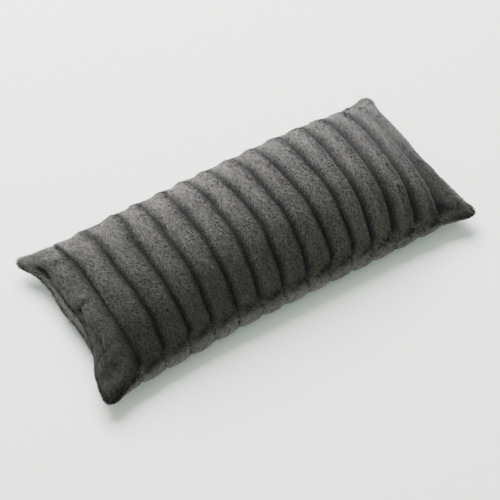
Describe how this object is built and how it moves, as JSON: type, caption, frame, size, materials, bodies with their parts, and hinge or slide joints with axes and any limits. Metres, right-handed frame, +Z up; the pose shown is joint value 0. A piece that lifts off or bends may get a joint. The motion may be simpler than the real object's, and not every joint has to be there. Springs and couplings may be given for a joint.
{
  "type": "long faux fur throw pillow",
  "caption": "Long rectangular throw pillow in short charcoal faux fur, ribbed across its width on both faces, filled and lying on its back.",
  "frame": {"origin": "on the resting plane, under the middle of the box around the whole pillow", "axes": "+X along the length, +Y across the width, +Z up from the resting surface through the crowned front face"},
  "size_m": [0.915, 0.422, 0.1936],
  "materials": {
    "fur": "short charcoal grey pile, soft sheen, darker in the channels"
  },
  "bodies": {
    "root": {"cushion": "fur"}
  },
  "joints": []
}
